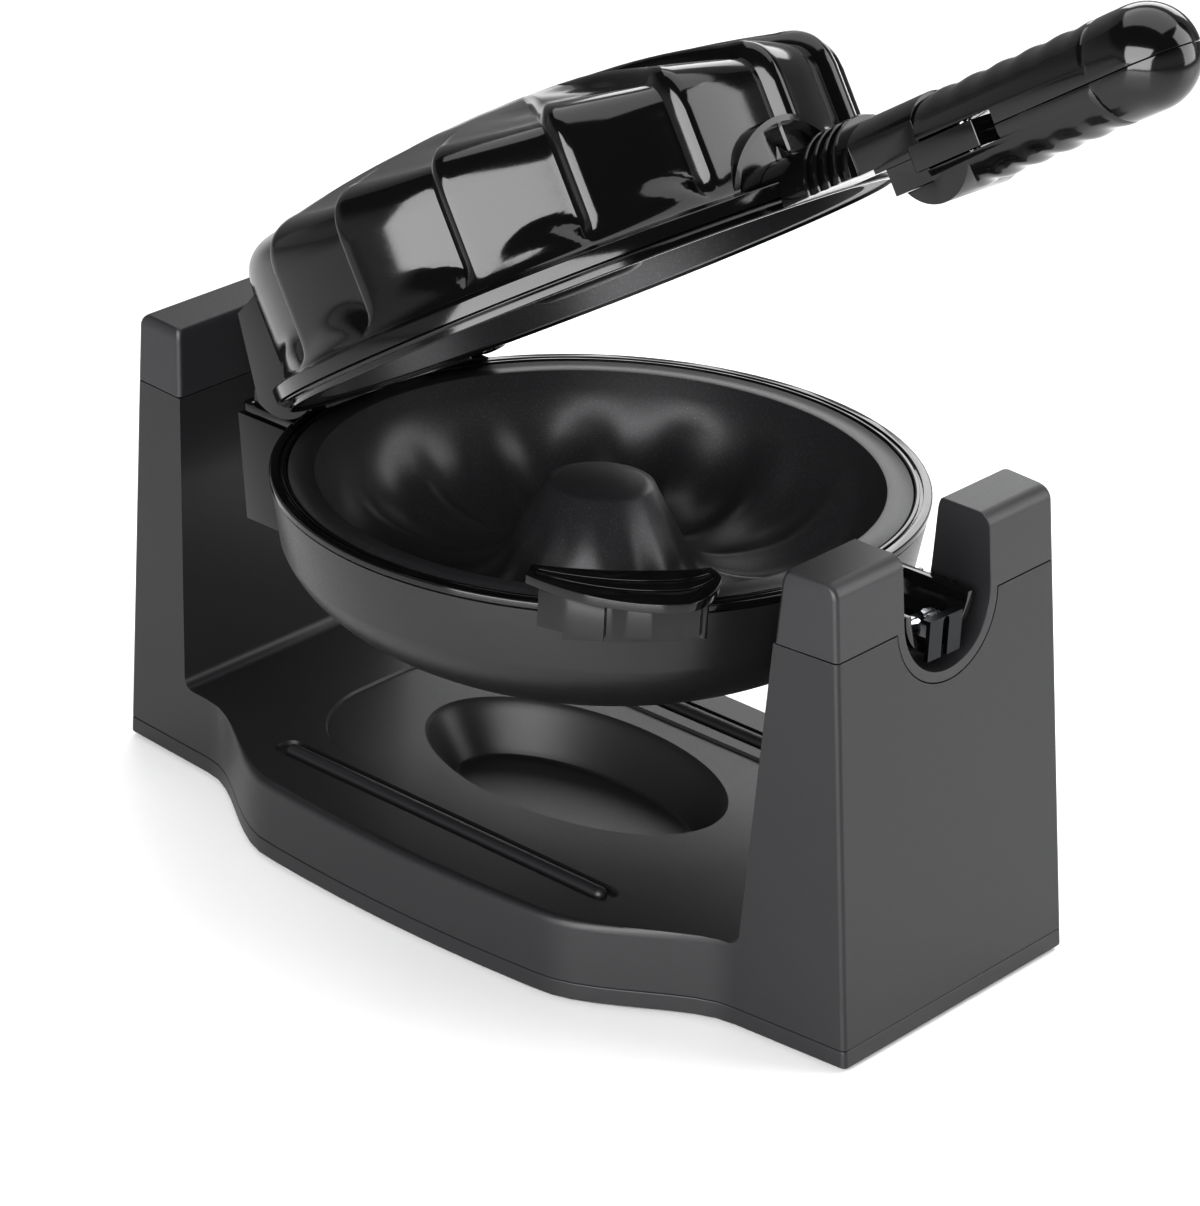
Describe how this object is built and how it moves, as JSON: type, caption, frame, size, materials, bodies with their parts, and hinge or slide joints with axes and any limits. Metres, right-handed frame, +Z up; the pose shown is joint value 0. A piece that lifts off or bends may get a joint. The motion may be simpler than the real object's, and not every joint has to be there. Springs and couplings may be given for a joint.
{
  "type": "electric cake maker",
  "caption": "Rotary ring-cake maker: a clam-shell oven with a fluted dome lid and a handle, turning on a two-tower stand.",
  "frame": {"origin": "centre of the underside of the stand's bottom plate, midway between the outer faces of the towers", "axes": "+X from the axle tower to the handle side, +Z up, the front with the thumb grip is -Y"},
  "size_m": [0.3893, 0.219, 0.3442],
  "materials": {
    "stand_black": "fine matt texture",
    "cap_black": "fine matt texture",
    "gloss_black": "high gloss",
    "satin_black": "satin",
    "nonstick": "dark non-stick coating on cast aluminium",
    "rubber": "matt",
    "steel": "bright",
    "element": "oxidised sheath",
    "phenolic": "moulded phenolic"
  },
  "bodies": {
    "stand": {"stand_shell": "stand_black", "bottom_plate": "stand_black", "left_tower_cap": "cap_black", "right_tower_cap": "cap_black", "foot_left_front": "rubber", "foot_left_rear": "rubber", "foot_right_front": "rubber", "foot_right_rear": "rubber", "base_screw_left_front": "steel", "base_screw_left_rear": "steel", "base_screw_right_front": "steel", "base_screw_right_rear": "steel", "axle_bush": "satin_black", "cord_gland": "rubber"},
    "lower_half": {"lower_shell": "satin_black", "lower_bezel": "gloss_black", "lower_plate": "nonstick", "lower_heater": "element", "lower_thermostat": "phenolic", "lower_hinge_block": "gloss_black", "flip_axle": "steel", "axle_ring": "steel", "hinge_pin_front": "steel", "hinge_pin_rear": "steel", "lower_journal": "gloss_black", "rest_bracket": "steel", "bracket_screw_front": "steel", "bracket_screw_rear": "steel", "front_grip_body": "gloss_black", "front_grip_cap": "gloss_black"},
    "lid": {"lid_shell": "gloss_black", "lid_bezel": "gloss_black", "upper_plate": "nonstick", "upper_heater": "element", "upper_thermostat": "phenolic", "upper_hinge_block": "gloss_black", "handle_neck": "gloss_black"},
    "grip": {"grip_upper_half": "gloss_black", "grip_lower_half": "gloss_black", "slide_pin": "steel"}
  },
  "joints": [
    {"name": "head_flip", "type": "hinge", "parent": "stand", "child": "lower_half", "pos_m": [0, 0, 0.138], "axis": [1, 0, 0], "range_deg": [-30, 30]},
    {"name": "lid_hinge", "type": "hinge", "parent": "lower_half", "child": "lid", "pos_m": [-0.0945, 0.00079, 0.15598], "axis": [0, -0.999, 0.0436], "range_deg": [-32.5, 47.5]},
    {"name": "handle_slide", "type": "slide", "parent": "lid", "child": "grip", "axis": [0.8434, 0.0234, 0.5368], "range_m": [0, 0.008]}
  ]
}
